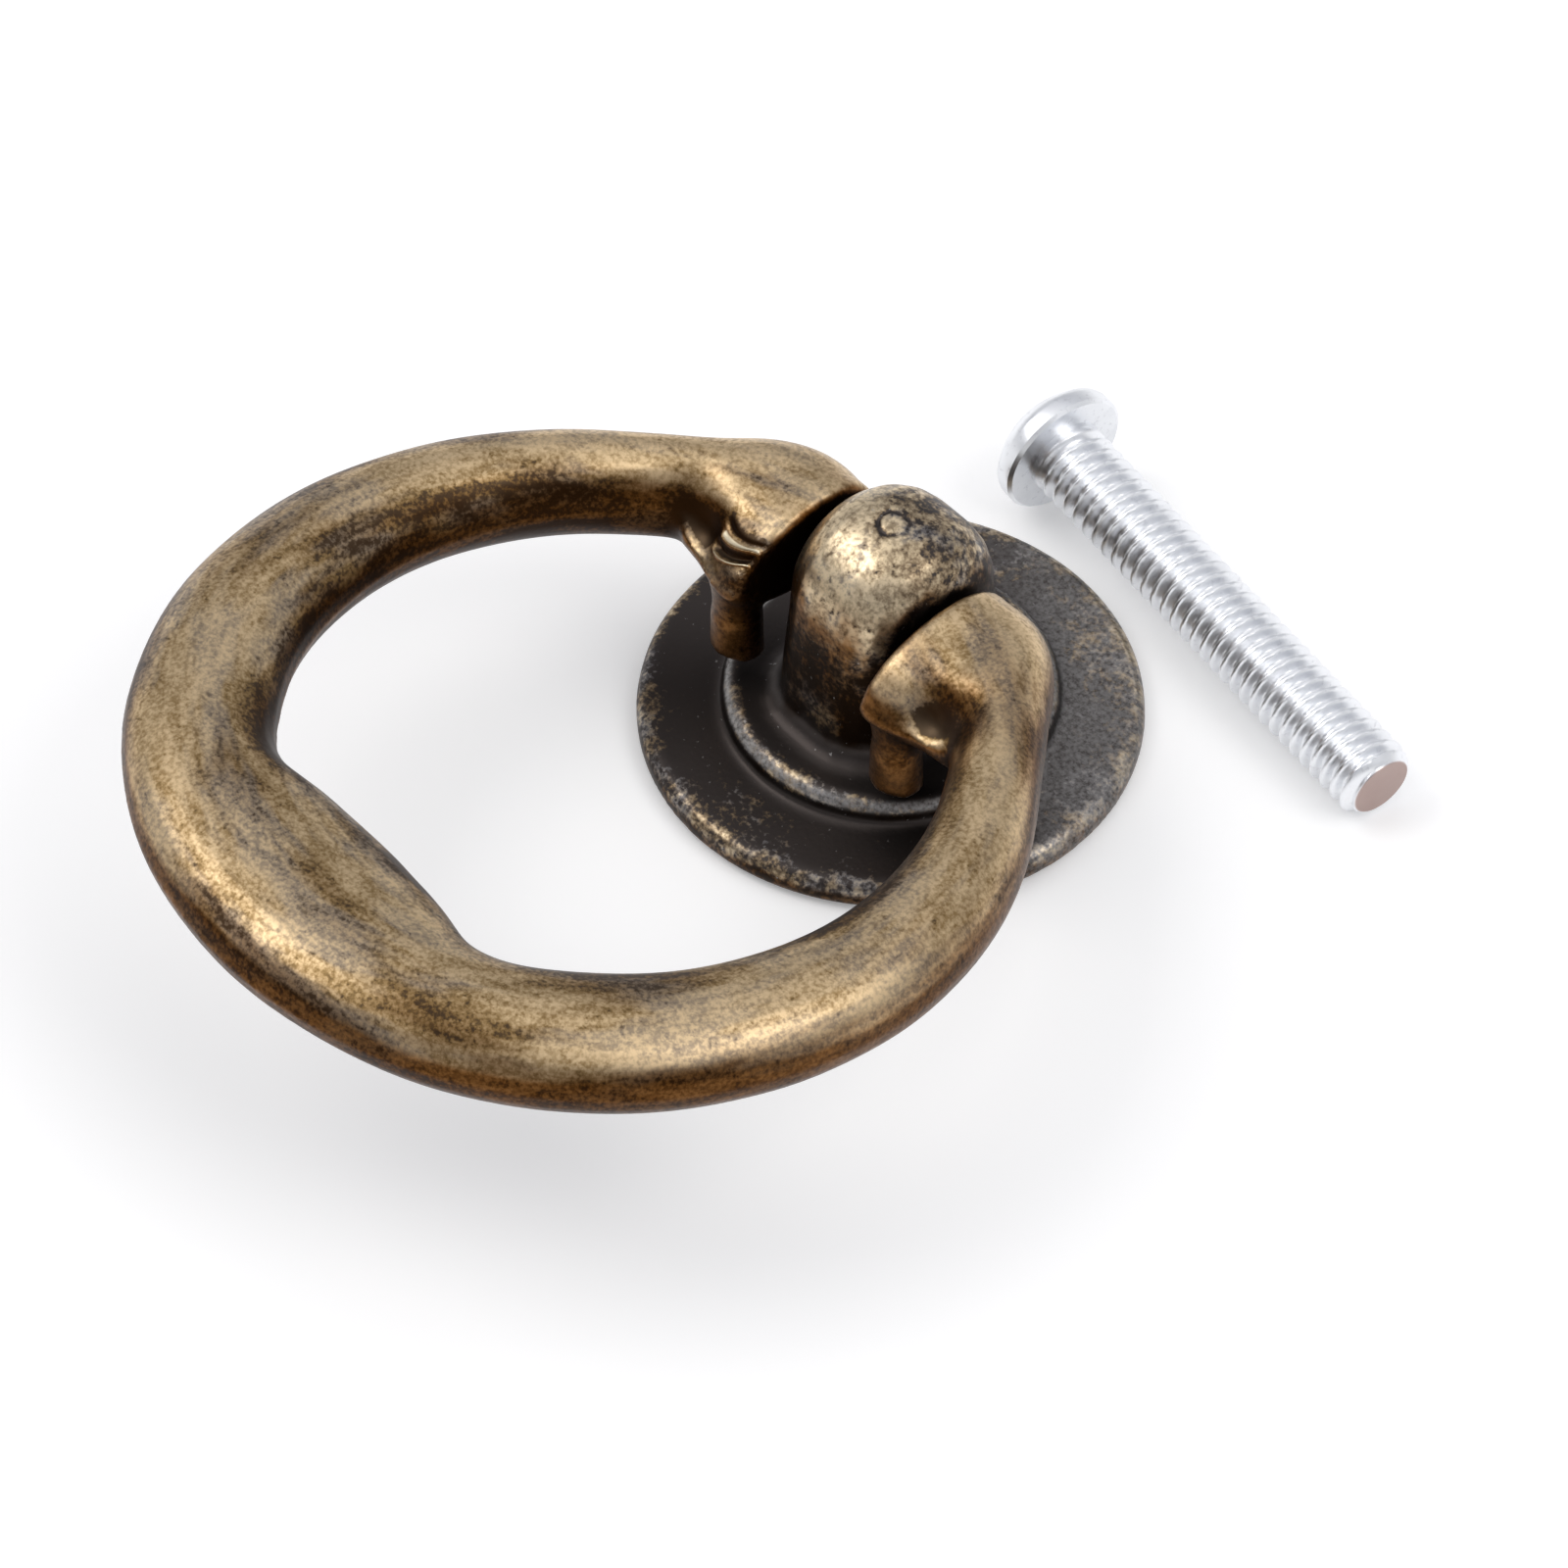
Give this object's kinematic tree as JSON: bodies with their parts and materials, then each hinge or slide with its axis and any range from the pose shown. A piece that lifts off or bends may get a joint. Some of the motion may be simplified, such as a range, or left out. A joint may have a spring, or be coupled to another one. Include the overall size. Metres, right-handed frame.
{
  "type": "ring drawer pull",
  "caption": "Cast ring drawer pull in aged brass: an open ring hinged on a domed post, on a round stepped backplate, with its loose mounting screw.",
  "frame": {"origin": "centre of the backplate's back face, at the mouth of the tapped hole", "axes": "+Z out of the drawer front, X along the hinge, the ring towards -Y"},
  "size_m": [0.0432, 0.0608, 0.0167],
  "materials": {
    "aged_brass": "antiqued, dark in the hollows",
    "zinc": "bright zinc plated"
  },
  "bodies": {
    "base": {"base": "aged_brass", "mounting_screw": "zinc"},
    "ring": {"ring": "aged_brass"}
  },
  "joints": [
    {"name": "ring_hinge", "type": "hinge", "parent": "base", "child": "ring", "pos_m": [0, 0, 0.0096], "axis": [-1, 0, 0], "range_deg": [-15, 180]}
  ]
}
